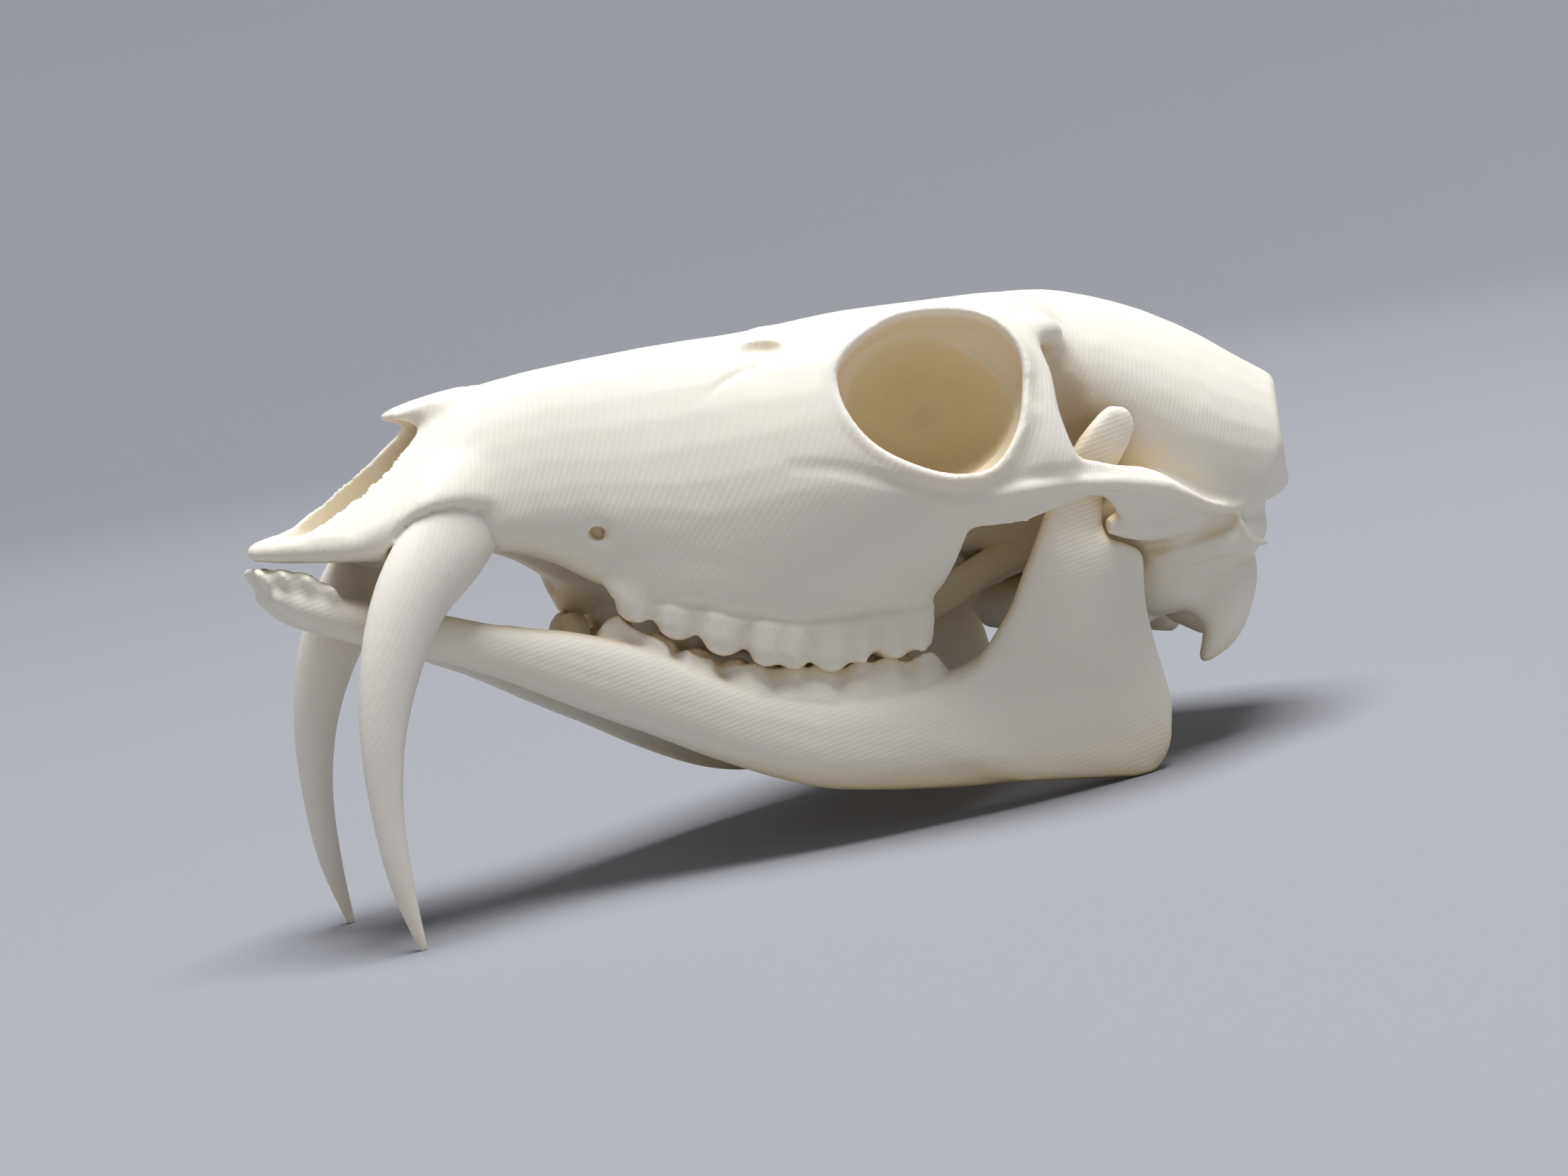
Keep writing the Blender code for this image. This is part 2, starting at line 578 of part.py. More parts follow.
def choanae():
    return hull("choanae", (
        (2.0, 29.6, 31.0, 32.6, 2.0, 1.0, 1.0, 2.0, 2.0), (8.0, 26.0, 30.0, 34.0, 5.0, 3.0, 3.0, 2.0, 2.0),
        (18.0, 20.0, 28.0, 33.4, 5.8, 3.4, 4.0, 2.0, 2.0), (34.0, 18.0, 24.0, 27.0, 5.6, 3.0, 4.0, 2.0, 2.0)))


def foramina():
    """Foramen magnum, the infraorbital foramina and the pits above the orbits."""
    magnum = limb("magnum", ((58.0, 0, 32.0, 5.0, 5.6), (80.0, 0, 33.6, 6.4, 7.2)))
    infraorbital = limb("infraorbital", ((-34.6, -16.0, 33.0, 1.1, 1.1), (-28.0, -8.6, 33.4, 0.9, 0.9)), (0, 0, 1))
    pit = ball("supraorbital", (-10.4, -14.6, 56.6), (3.0, 2.4, 1.3))
    return [magnum] + both_sides([infraorbital, pit])


def cusp(name, x, y, z, half, inwards, depth, lean, length):
    """A blunt cusp with its crown: z is its tip, and length runs to the root, below the tip where negative."""
    rows = []
    rise = math.copysign(1.0, length)
    for above, size, lean_share in ((abs(length), 1.0, 1.0),) + CUSP:
        rows.append((x, y + inwards + lean * lean_share, z + rise * above, half * size, depth * size))
    return limb(name, rows, step=0.8)


def upper_teeth():
    """Each outer cusp with its part of the crown, and a lower inner cusp behind all but the first."""
    made = []
    for i, (x, y, z, half) in enumerate(UPPER_CUSPS):
        made.append(cusp("upper_outer", x, y, z, half, *UPPER_OUTER))
        if i > 0:
            shift = PREMOLAR_SHIFT if i < PREMOLARS else 0.0
            made.append(cusp("upper_inner", x, y + shift, z + INNER_LIFT, half, *UPPER_INNER))
    return made


def lower_teeth():
    return [cusp("lower_cusp", x, y, z, half, *LOWER_CUSP) for x, y, z, half in LOWER_CUSPS]


def cranium():
    vault = fused("vault", [hull("braincase", BRAINCASE)])
    cut(vault, crest_cuts(), "MANIFOLD")
    vault = smooth(fused("vault", [vault]), 6)
    sides = [tusk_sleeve(), zygomatic_arch(), postorbital_bar(), orbit_collar(), orbit_back(), squamosal_root(),
             paroccipital_process(), condyle_ledge(), condyle(), pterygoid()] + ear_region()
    solid = fused("cranium", [vault, hull("face", FACE), hull("shelf", SHELF), basicranium()]
                  + nasal_tips() + both_sides(sides))
    cut(solid, both_sides([orbit_bowl()]) + [nasal_cavity(), palate_vault(), choanae()] + foramina(), "MANIFOLD")
    smooth(solid, 10)
    solid = fused("cranium", [solid] + both_sides(upper_teeth()))
    smooth(solid, 2)
    return thin_out(solid, CRANIUM_TRIANGLES)


def ramus_ring(z, front, rear, y, half):
    middle = (front + rear) / 2
    reach = (rear - front) / 2
    turn = np.linspace(0, 2 * math.pi, 28, endpoint=False)
    ring = []
    for a in turn:
        c, s = math.cos(a), math.sin(a)
        ring.append((middle + reach * math.copysign(abs(c) ** 0.8, c), y + half * math.copysign(abs(s) ** 0.6, s), z))
    return ring


def jaw_ring(x, y, low, high, half):
    middle = (low + high) / 2
    reach = (high - low) / 2
    ring = []
    for a in np.linspace(0, 2 * math.pi, 24, endpoint=False):
        c, s = math.cos(a), math.sin(a)
        ring.append((x, y + half * math.copysign(abs(c) ** 0.8, c), middle + reach * math.copysign(abs(s) ** 0.8, s)))
    return ring


def jaw_condyle():
    head = ((37.2, -19.6, 29.3, 1.8, 1.4), (37.6, -22.4, 29.2, 2.6, 1.5), (37.8, -24.2, 29.2, 2.2, 1.2),
            (37.8, -25.0, 29.2, 1.6, 0.8))
    return limb("jaw_condyle", head, across=(0, 0, 1))


def incisors():
    made = []
    for x, y, z, edge_x, edge_y, edge_z, half in INCISORS:
        middle = [(a + b) / 2 for a, b in zip((x, y, z), (edge_x, edge_y, edge_z))]
        rows = ((x, y, z, 1.2, 1.2), (*middle, half, 1.0), (edge_x, edge_y, edge_z, half, 0.55))
        made.append(limb("incisor", rows, across=(-0.5, 0.2, -1), step=0.8, sides=12))
    return made


def mandible():
    body = loft("jaw_body", [jaw_ring(*row) for row in flow(JAW)])
    blade = loft("ramus", [ramus_ring(z, front, rear, y, half) for z, front, rear, y, half in flow(RAMUS)])
    solid = smooth(fused("mandible_left", [body, blade, jaw_condyle()]), 12)
    solid = smooth(fused("mandible_left", [solid] + lower_teeth() + incisors(), voxel=0.5), 2)
    cut(solid, [box("symphysis", (-90, -GAP / 2, -5), (60, 20, 60))], "MANIFOLD")
    return thin_out(solid, MANDIBLE_TRIANGLES)


def tusk(name, spare=0.0):
    rows = [(x, y, z, wide + spare, thick + spare) for x, y, z, wide, thick in TUSK]
    root, below = Vector(rows[0][:3]), Vector(rows[1][:3])
    root += (root - below).normalized() * spare * 2
    rows[0] = (*root, *rows[0][3:])
    return limb(name, rows, step=2.6, sides=TUSK_SIDES)


def rest_pose():
    """The turn that brings tusk tips and jaw angles to one level, which becomes the floor."""
    across = JAW_ANGLE - TUSK_TIP
    angle = math.atan2(across.z, across.x)
    turn = Matrix.Rotation(angle, 4, "Y")
    floor = (turn @ TUSK_TIP).z + FLAT
    return Matrix.Translation((0, 0, -floor)) @ turn


def centred(pose, pieces):
    """The same pose with the origin under the middle of the skull's length."""
    along = [(pose @ point.co).x for piece in pieces for point in piece.data.vertices]
    return Matrix.Translation((-(min(along) + max(along)) / 2, 0, 0)) @ pose


def colour(code):
    """sRGB hex to linear RGBA."""
    parts = [int(code[i:i + 2], 16) / 255 for i in (1, 3, 5)]
    return (*[((c + 0.055) / 1.055) ** 2.4 if c > 0.04045 else c / 12.92 for c in parts], 1.0)


def material(name, code, roughness):
    made = bpy.data.materials.new(name)
    made.use_nodes = True
    shader = made.node_tree.nodes["Principled BSDF"]
    shader.inputs["Base Color"].default_value = colour(code)
    shader.inputs["Roughness"].default_value = roughness
    shader.inputs["Metallic"].default_value = 0.0
    return made


def finish(shape, name, collection, look, holder):
    """Names the node, brings it to metres and hangs it on the tipped empty."""
    shape.name = name
    shape.data.name = name
    shape.data.transform(Matrix.Scale(MM, 4))
    shape.data.materials.clear()
    shape.data.materials.append(look)
    shape.data.shade_smooth()
    for old in list(shape.users_collection):
        old.objects.unlink(shape)
    collection.objects.link(shape)
    shape.parent = holder


def main():
    clear_scene()
    collection = new_collection("musk_deer_skull")
    pose = rest_pose()

    skull = cranium()
    cut(skull, both_sides([tusk("socket", GAP)]), "MANIFOLD")
    jaw = mandible()
    fang = tusk("canine_left")

    floor_block = box("floor_block", (-120, -60, -60), (120, 60, 0))
    floor_block.data.transform(pose.inverted())
    for piece in (jaw, fang):
        apply_modifier(piece, "BOOLEAN", operation="DIFFERENCE", object=floor_block, solver="EXACT")
    bpy.data.objects.remove(floor_block)

    pose = centred(pose, (skull, jaw, fang))
    holder = bpy.data.objects.new("rest_pose", None)
    collection.objects.link(holder)
    holder.matrix_world = Matrix.Translation(pose.to_translation() * MM) @ pose.to_3x3().to_4x4()

    bone = material("printed_bone", BONE, 0.55)
    ivory = material("printed_tusk", TOOTH, 0.5)
    jaw_right = mirrored(jaw)
    fang_right = mirrored(fang)
    finish(skull, "cranium", collection, bone, holder)
    finish(jaw, "mandible_left", collection, bone, holder)
    finish(jaw_right, "mandible_right", collection, bone, holder)
    finish(fang, "canine_left", collection, ivory, holder)
    finish(fang_right, "canine_right", collection, ivory, holder)


main()
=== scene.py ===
"""Musk deer skull, life size: a museum model printed in ivory nylon, standing on its tusks and jaw."""

import math

import bmesh
import bpy
import numpy as np
from mathutils import Matrix, Vector


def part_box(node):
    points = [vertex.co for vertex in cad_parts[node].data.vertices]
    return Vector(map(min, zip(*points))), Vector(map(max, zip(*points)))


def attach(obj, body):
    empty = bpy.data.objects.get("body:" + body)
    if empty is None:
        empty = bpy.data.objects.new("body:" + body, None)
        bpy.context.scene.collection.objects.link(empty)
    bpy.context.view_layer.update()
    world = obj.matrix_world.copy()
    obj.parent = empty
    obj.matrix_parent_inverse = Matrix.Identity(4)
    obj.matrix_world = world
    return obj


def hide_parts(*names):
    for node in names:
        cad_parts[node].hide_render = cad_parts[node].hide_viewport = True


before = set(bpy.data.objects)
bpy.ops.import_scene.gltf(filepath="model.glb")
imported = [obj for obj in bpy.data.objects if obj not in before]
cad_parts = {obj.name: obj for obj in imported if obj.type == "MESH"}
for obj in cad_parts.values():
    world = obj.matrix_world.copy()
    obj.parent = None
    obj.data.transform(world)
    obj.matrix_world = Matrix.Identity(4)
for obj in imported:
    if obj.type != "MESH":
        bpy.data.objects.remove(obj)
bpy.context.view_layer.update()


# Cranium: one print in sintered nylon, the same size as the bone it copies. It leaves the powder bed
# ivory and matt, with fine steps where the layers run out along a slope. It is modelled as in clay: the
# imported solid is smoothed, the tooth rows are laid on, and rims, creases and pits are drawn with strokes.

# The skull's points are given as it is held level, and the nose is then tipped up, about the origin of those
# points, until the skull rests on its tusks and the angles of its jaw.
CHIN_REACH = 0.065849  # from that origin forwards to the foremost incisor, at rest
LIFT = 0.0065469  # from the floor up to that origin
TILT = math.radians(11.0814)
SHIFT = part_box("mandible_left")[0].x + CHIN_REACH
REST = Matrix.Translation((SHIFT, 0, LIFT)) @ Matrix.Rotation(TILT, 4, "Y")


def spot(x, y, z):
    """A point of the skull held level, in mm from that origin, as it lies at rest."""
    return REST @ Vector((x * 0.001, y * 0.001, z * 0.001))


def alone(piece):
    """Only this piece selected and active."""
    bpy.ops.object.select_all(action="DESELECT")
    piece.select_set(True)
    bpy.context.view_layer.objects.active = piece
    return piece


def finish_with(piece, kind, **settings):
    """Puts a modifier on the piece and applies it."""
    alone(piece)
    modifier = piece.modifiers.new(kind.title(), kind)
    for key, value in settings.items():
        setattr(modifier, key, value)
    bpy.ops.object.modifier_apply(modifier=modifier.name)


def casting(node, name):
    """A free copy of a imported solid, with its loose triangles joined."""
    piece = bpy.data.objects.new(name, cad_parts[node].data.copy())
    bpy.context.scene.collection.objects.link(piece)
    alone(piece)
    bpy.ops.object.mode_set(mode="EDIT")
    bpy.ops.mesh.select_all(action="SELECT")
    bpy.ops.mesh.remove_doubles(threshold=1e-6)
    bpy.ops.object.mode_set(mode="OBJECT")
    return piece


def read_points(piece):
    """The piece's points, one row each, in metres at rest."""
    rows = np.empty(len(piece.data.vertices) * 3)
    piece.data.vertices.foreach_get("co", rows)
    return rows.reshape(-1, 3)


def write_points(piece, rows):
    piece.data.vertices.foreach_set("co", rows.ravel())
    piece.data.update()


def on_level(rows):
    """The same points on the level skull, in mm."""
    turn = np.array(REST.to_3x3())
    return (rows - np.array(REST.translation)) @ turn * 1000


def read_normals(piece):
    rows = np.empty(len(piece.data.vertices) * 3)
    piece.data.vertex_normals.foreach_get("vector", rows)
    return rows.reshape(-1, 3)


def rise(low, high, value):
    """0 below low, 1 above high, and an even slope between."""
    return np.clip((value - low) / (high - low), 0.0, 1.0)


def marked(piece, weights, steps):
    """The name of a new vertex group with these weights, each rounded up to one of the steps."""
    group = piece.vertex_groups.new(name="worked")
    for step in range(1, steps + 1):
        band = np.nonzero(np.ceil(weights * steps) == step)[0]
        group.add([int(i) for i in band], step / steps, "REPLACE")
    return group.name


def smoothed(piece, rounds, kept=None):
    """Rounds of smoothing that act fully where kept(points) is 0 and not at all where it is 1. Each round
    draws the surface in and lets it out again, so that thin blades don't shrink."""
    group = marked(piece, 1.0 - kept(on_level(read_points(piece))), 8) if kept else ""
    for _ in range(rounds):
        finish_with(piece, "SMOOTH", factor=0.5, iterations=1, vertex_group=group)
        finish_with(piece, "SMOOTH", factor=-0.53, iterations=1, vertex_group=group)
    piece.vertex_groups.clear()


def stroke(piece, path, width, height, towards=None, sides=(1, -1)):
    """One stroke of the modelling tool, on the left (1), the right (-1) or both: it raises the surface, or
    presses it where height is below 0, or drags it towards a direction, and fades out over width, in mm. Each
    point is x, y, z on the level skull's left side and a share of the height."""
    rows = read_points(piece)
    normals = read_normals(piece)
    for side in sides:
        track = []
        for x, y, z, share in path:
            point = np.array(spot(x, y * side, z))
            nearest = int(np.argmin(((rows - point) ** 2).sum(axis=1)))
            track.append((rows[nearest].copy(), normals[nearest].copy(), share))
        best = np.full(len(rows), 1e9)
        pushed = np.zeros(len(rows))
        for (a, a_out, a_share), (b, b_out, b_share) in zip(track, track[1:]):
            along = b - a
            t = np.clip((rows - a) @ along / max(along @ along, 1e-12), 0.0, 1.0)
            apart = np.linalg.norm(rows - a - t[:, None] * along, axis=1) * 1000 / width
            facing = (normals * (a_out + b_out)).sum(axis=1) > 0.1
            nearer = facing & (apart < best) & (apart < 1)
            best[nearer] = apart[nearer]
            pushed[nearer] = (a_share + (b_share - a_share) * t[nearer]) * (1 - apart[nearer] ** 2) ** 2
        course = normals
        if towards:
            aim = Vector((towards[0], towards[1] * side, towards[2])).normalized()
            course = np.array(REST.to_3x3() @ aim)
        rows += course * (pushed * height * 0.001)[:, None]
    write_points(piece, rows)


def lofted(name, rings):
    """A closed solid through rings of points, given in mm on the level skull."""
    shell = bmesh.new()
    made = [[shell.verts.new(spot(*point)) for point in ring] for ring in rings]
    count = len(rings[0])
    for a, b in zip(made, made[1:]):
        for i in range(count):
            shell.faces.new((a[i], a[(i + 1) % count], b[(i + 1) % count], b[i]))
    shell.faces.new(made[0])
    shell.faces.new(made[-1])
    bmesh.ops.recalc_face_normals(shell, faces=shell.faces)
    mesh = bpy.data.meshes.new(name)
    shell.to_mesh(mesh)
    shell.free()
    piece = bpy.data.objects.new(name, mesh)
    bpy.context.scene.collection.objects.link(piece)
    return piece


def other_side(piece):
    """A copy mirrored to the skull's right side."""
    copy = bpy.data.objects.new(piece.name + "_mirrored", piece.data.copy())
    bpy.context.scene.collection.objects.link(copy)
    copy.data.transform(Matrix.Scale(-1, 4, (0, 1, 0)))
    copy.data.flip_normals()
    return copy


def reskinned(piece, grain):
    """One closed skin round the piece, with points the grain apart, in mm."""
    finish_with(piece, "REMESH", mode="VOXEL", voxel_size=grain * 0.001)


def merged(piece, additions, grain):
    """The piece and its additions run together into one skin."""
    alone(piece)
    for addition in additions:
        addition.select_set(True)
    bpy.ops.object.join()
    reskinned(piece, grain)


def read_off(table, x, column, soft=False):
    """A table's column at x, or its last column where it has fewer. It turns softly at each row if asked."""
    for a, b in zip(table, table[1:]):
        if x <= b[0]:
            t = rise(a[0], b[0], x)
            column = min(column, len(a) - 1)
            return a[column] + (b[column] - a[column]) * (t * t * (3 - 2 * t) if soft else t)
    return table[-1][min(column, len(table[-1]) - 1)]


def tooth_wall(name, outer, edge, gum, relief, thick, sign):
    """The outer wall of a tooth row. outer gives y at the biting edge and at the gum, edge gives the biting
    edge with 1 at a cusp and 0 at a notch, and gum is the line where the crowns start. Between the cusps the
    wall is hollowed by relief. sign is 1 where the roots lie above."""
    rings = []
    for x in np.arange(edge[0][0], edge[-1][0] + 0.01, 0.25):
        y, foot = read_off(outer, x, 1), read_off(outer, x, 2)
        groove = relief * (1 - read_off(edge, x, 2, soft=True))
        tip = read_off(edge, x, 1)
        root = read_off(gum, x, 1)
        tall = abs(root - tip)
        rings.append([(x, foot + 0.7, root + sign * 2.5), (x, foot + 0.1 + groove * 0.2, root),
                      (x, (y + foot) / 2 + groove * 0.7, root - sign * tall * 0.35),
                      (x, y + 0.1 + groove, tip + sign * tall * 0.25),
                      (x, y + 0.45 + groove, tip + sign * 0.1), (x, y + 1.0, tip + sign * 0.3),
                      (x, y + thick, tip + sign * 1.8), (x, y + thick, root + sign * 2.5)])
    return lofted(name, rings)


def limb(name, rows):
    """A rounded strip of bone along rows of x, y, z, half breadth and half thickness."""
    rings = []
    points = [Vector(row[:3]) for row in rows]
    sides = 14
    turns = [2 * math.pi * k / sides for k in range(sides)]
    for i, row in enumerate(rows):
        ahead = (points[min(i + 1, len(rows) - 1)] - points[max(i - 1, 0)]).normalized()
        across = ahead.cross(Vector((0, 0, 1))).normalized()
        up = across.cross(ahead)
        rings.append([tuple(points[i] + across * row[3] * math.cos(a) + up * row[4] * math.sin(a))
                      for a in turns])
    return lofted(name, rings)


def cranium_kept(p):
    """Teeth and nasal tips keep their shape."""
    x, across, z = p[:, 0], np.abs(p[:, 1]), p[:, 2]
    gum = np.where(x > -12, 24.6, 24.6 - (x + 12) * 0.1)
    teeth = (1 - rise(gum, gum + 1.5, z)) * (rise(-31, -29, x) - rise(13.5, 15, x)) * rise(6, 8, across)
    nose = 1 - rise(-56, -50, x)
    return np.maximum(teeth, 0.8 * nose)


UPPER_OUTER = ((-33.0, -9.6), (-30.5, -11.0), (-28.0, -12.4), (-25.6, -12.9), (-20.6, -14.9),
               (-15.4, -17.2), (-10.4, -19.1), (-7.0, -19.9), (-2.2, -20.7), (1.4, -21.1), (6.4, -21.3),
               (9.8, -21.1), (12.0, -20.9))
UPPER_EDGE = ((-33.0, 30.0, 0.9), (-31.3, 28.6, 0.9), (-30.2, 27.1, 0.9), (-29.2, 25.4, 0.9),
              (-28.2, 23.9, 0.9), (-27.2, 22.6, 1.0), (-25.8, 21.6, 1.0), (-24.3, 22.2, 0.3),
              (-22.7, 20.6, 0.8), (-21.1, 19.5, 1.0), (-19.4, 20.2, 0.3), (-17.7, 18.9, 0.8),
              (-15.9, 17.6, 1.0), (-14.5, 18.6, 0.7), (-13.0, 19.6, 0.0), (-11.9, 17.8, 0.7),
              (-10.4, 16.2, 1.0), (-8.8, 16.8, 0.5), (-7.2, 15.7, 1.0),
              (-5.3, 17.3, 0.0), (-3.9, 16.3, 0.7), (-2.3, 15.4, 1.0), (-0.1, 16.8, 0.5), (1.8, 16.4, 1.0),
              (3.4, 18.3, 0.0), (4.7, 17.5, 0.7), (6.4, 16.8, 1.0), (8.2, 18.3, 0.4), (10.1, 17.7, 1.0),
              (11.5, 18.6, 0.8), (11.9, 20.1, 0.7))
UPPER_GUM = ((-33.0, 31.6), (-30.2, 28.4), (-28.2, 25.6), (-24.4, 24.6), (-18.5, 23.7), (-12.3, 22.3),
             (-5.5, 21.7), (2.7, 23.2), (7.3, 23.5), (11.8, 24.4))

cranium = casting("cranium", "cranium_print")
reskinned(cranium, 0.45)
smoothed(cranium, 20, cranium_kept)


# The orbit's opening in the plane of its rim: mm along it towards the rear and up, then how high the lip
# stands out of that plane and how high the bone does 2 mm outside it.
RIM = ((-11.8, -1.6, 0.45, 0.15), (-10.4, 3.0, 0.8, 0.5), (-6.9, 7.1, 0.6, 0.1), (-1.6, 9.8, 0.5, -0.2),
       (3.5, 10.8, 0.2, -0.8), (7.7, 9.6, 0.1, -1.3), (10.4, 5.4, 0.3, -1.0), (11.4, 0.2, 0.4, -0.5),
       (11.2, -5.2, 0.4, -1.2), (8.0, -9.2, 0.5, -1.8), (2.8, -10.5, 0.55, -1.5), (-3.8, -9.8, 0.5, -2.4),
       (-8.6, -7.0, 0.4, -1.6), (-11.1, -4.1, 0.4, -0.6))
RIM_MIDDLE = Vector((7.9, -27.0, 50.9))
RIM_AFT = Vector((0.92, -0.391, 0.0)).normalized()
RIM_OUT = Vector((-0.371, -0.872, 0.321)).normalized()
RIM_UP = RIM_AFT.cross(RIM_OUT)


def rounded(points, steps):
    """A closed smooth curve through the points, with steps between each two."""
    rows = [Vector(point) for point in points]
    curve = []
    for i in range(len(rows)):
        a, b, c, d = rows[i - 1], rows[i], rows[(i + 1) % len(rows)], rows[(i + 2) % len(rows)]
        for k in range(steps):
            t = k / steps
            curve.append(0.5 * (2 * b + (c - a) * t + (2 * a - 5 * b + 4 * c - d) * t ** 2
                                + (3 * b - a - 3 * c + d) * t ** 3))
    return curve


def on_rim(aft, up, out):
    return tuple(RIM_MIDDLE + RIM_AFT * aft + RIM_UP * up + RIM_OUT * out)


RIM_CURVE = rounded(RIM, 8)


def rim_band():
    """The lip all round the orbit: its inner wall, its crest, and a slope to the bone outside it. It runs on
    a little past its start, so that its two ends lie in each other."""
    rings = []
    count = len(RIM_CURVE)
    for i in range(count + 3):
        here, before, after = RIM_CURVE[i % count], RIM_CURVE[(i - 1) % count], RIM_CURVE[(i + 1) % count]
        away = Vector((before.y - after.y, after.x - before.x)).normalized()
        section = ((0.4, -2.6), (0.05, -0.9), (0.1, here.z - 0.35), (0.45, here.z), (1.0, here.z - 0.05),
                   (1.6, here.z * 0.4 + here.w * 0.6), (2.2, here.w - 0.25), (2.4, here.w - 1.6),
                   (1.6, here.w - 2.6))
        rings.append([on_rim(here.x + away.x * d, here.y + away.y * d, out) for d, out in section])
    return lofted("rim_band", rings)


def rim_cutter():
    """The hollow of the orbit, which opens the rim to its outline. Each ring is a share of that outline's
    size, and how far out of the rim's plane it lies."""
    depths = ((1.12, 9.0), (1.03, 1.4), (1.005, 0.3), (1.0, -0.8), (1.02, -2.5), (1.02, -5.0), (0.9, -7.5),
              (0.6, -9.0))
    return lofted("rim_cutter", [[on_rim(point.x * size, point.y * size, out) for point in RIM_CURVE]
                                 for size, out in depths])


cutter = rim_cutter()
for tool in (cutter, other_side(cutter)):
    finish_with(cranium, "BOOLEAN", operation="DIFFERENCE", solver="MANIFOLD", object=tool)
    bpy.data.objects.remove(tool)


def socket_plug(side):
    """The root of a tusk, a hair thinner than the tusk: it closes the slot round it, as glue does."""
    hair = 0.00012
    plug = casting("canine_" + side, "plug_" + side)
    write_points(plug, read_points(plug) - read_normals(plug) * hair)
    mouth = spot(-50, 0, 31.5)
    up = (spot(-50, 0, 32.5) - mouth).normalized()
    alone(plug)
    bpy.ops.object.mode_set(mode="EDIT")
    bpy.ops.mesh.select_all(action="SELECT")
    bpy.ops.mesh.bisect(plane_co=mouth, plane_no=up, use_fill=True, clear_inner=True)
    bpy.ops.object.mode_set(mode="OBJECT")
    return plug


# What the bone carries on each side: the wing of bone behind the palate, the front edge of the jaw joint, the
# bone that closes the temple behind the orbit, the ear's bulb, the knuckle for the neck, and the strap behind
# the ear with its spike. The orbit's lip and the tooth row come first.
LIMBS = {
    "palate_wing": ((16.0, -9.6, 23.6, 0.6, 2.6), (19.5, -9.8, 25.4, 0.8, 2.6), (23.0, -10.2, 27.6, 0.9, 2.2),
                    (27.0, -11.0, 30.0, 1.0, 2.2), (31.0, -11.6, 32.4, 1.2, 2.4)),
    "joint_lip": ((34.2, -26.0, 34.0, 0.8, 1.0), (35.6, -26.0, 34.2, 1.4, 1.7),
                  (37.5, -25.9, 34.3, 2.2, 2.2), (40.5, -25.0, 34.4, 2.8, 2.6),
                  (44.0, -23.6, 34.6, 2.8, 2.6), (48.0, -22.4, 35.0, 2.0, 2.0)),
    "temple_fill": ((21.2, -25.4, 59.0, 1.4, 1.0), (22.6, -24.8, 59.1, 2.6, 1.9),
                    (24.5, -23.8, 59.2, 3.6, 2.5), (26.8, -21.6, 58.8, 3.4, 2.5),
                    (28.8, -19.0, 58.2, 2.2, 2.0)),
    "ear_bulb": ((34.5, -10.6, 24.0, 1.2, 1.6), (37.0, -11.0, 23.2, 2.8, 3.6), (41.0, -11.6, 23.2, 3.6, 4.4),
                 (46.0, -12.2, 24.0, 3.8, 4.2), (51.0, -12.6, 25.4, 3.2, 3.0)),
    "neck_knuckle": ((54.0, -5.6, 26.6, 2.6, 2.6), (58.0, -6.2, 23.6, 3.2, 3.4), (62.0, -6.8, 21.6, 3.0, 3.0),
                     (65.0, -7.2, 20.4, 1.8, 1.8)),
    "ear_strap": ((56.8, -20.8, 36.4, 1.3, 1.1), (57.2, -21.0, 34.8, 1.1, 0.9),
                  (57.9, -20.6, 33.0, 1.0, 0.8), (59.6, -19.8, 31.9, 0.9, 0.7),
                  (61.9, -19.1, 31.7, 0.6, 0.5), (63.6, -18.7, 31.7, 0.3, 0.3)),
}
left = [rim_band(), tooth_wall("upper_teeth", UPPER_OUTER, UPPER_EDGE, UPPER_GUM, 1.25, 1.9, 1)]
left += [limb(name, rows) for name, rows in LIMBS.items()]
plugs = [socket_plug("left"), socket_plug("right")]
merged(cranium, left + [other_side(piece) for piece in left] + plugs, 0.36)
smoothed(cranium, 3)


def rubbed(piece, weights, rounds):
    """Rubs the surface smooth where the weights are above 0."""
    group = marked(piece, weights, 5)
    finish_with(piece, "SMOOTH", factor=0.6, iterations=rounds, vertex_group=group)
    piece.vertex_groups.clear()


def blended(piece, centre, radius, rounds):
    """Rubs the surface smooth round a point and its mirror point, and not beyond the radius in mm."""
    rows = on_level(read_points(piece))
    rows[:, 1] = -np.abs(rows[:, 1])
    rubbed(piece, 1 - rise(0, radius, np.linalg.norm(rows - np.array(centre), axis=1)), rounds)


def round_rim(rows):
    """1 on the bone just outside the orbit's lip, 0 on the lip and further off."""
    apart = np.stack((rows[:, 0], -np.abs(rows[:, 1]), rows[:, 2]), axis=1) - np.array(RIM_MIDDLE)
    aft, up, out = apart @ np.array(RIM_AFT), apart @ np.array(RIM_UP), apart @ np.array(RIM_OUT)
    outside = (np.hypot(aft / 12.1, up / 11.3) - 1) * 11.5
    return rise(0.8, 2.2, outside) * (1 - rise(4.5, 7, outside)) * (1 - rise(3, 5, np.abs(out + 1)))


def above_gum(rows):
    """1 on the bone just above the upper teeth, 0 on the teeth and further up."""
    line = np.interp(rows[:, 0], [x for x, _ in UPPER_GUM], [z for _, z in UPPER_GUM])
    outside = rise(7, 9, np.abs(rows[:, 1])) * (rise(-36, -34, rows[:, 0]) - rise(10, 12, rows[:, 0]))
    return outside * rise(0.0, 1.0, rows[:, 2] - line) * (1 - rise(4.0, 6.0, rows[:, 2] - line))


rubbed(cranium, round_rim(on_level(read_points(cranium))), 40)
rubbed(cranium, above_gum(on_level(read_points(cranium))), 60)
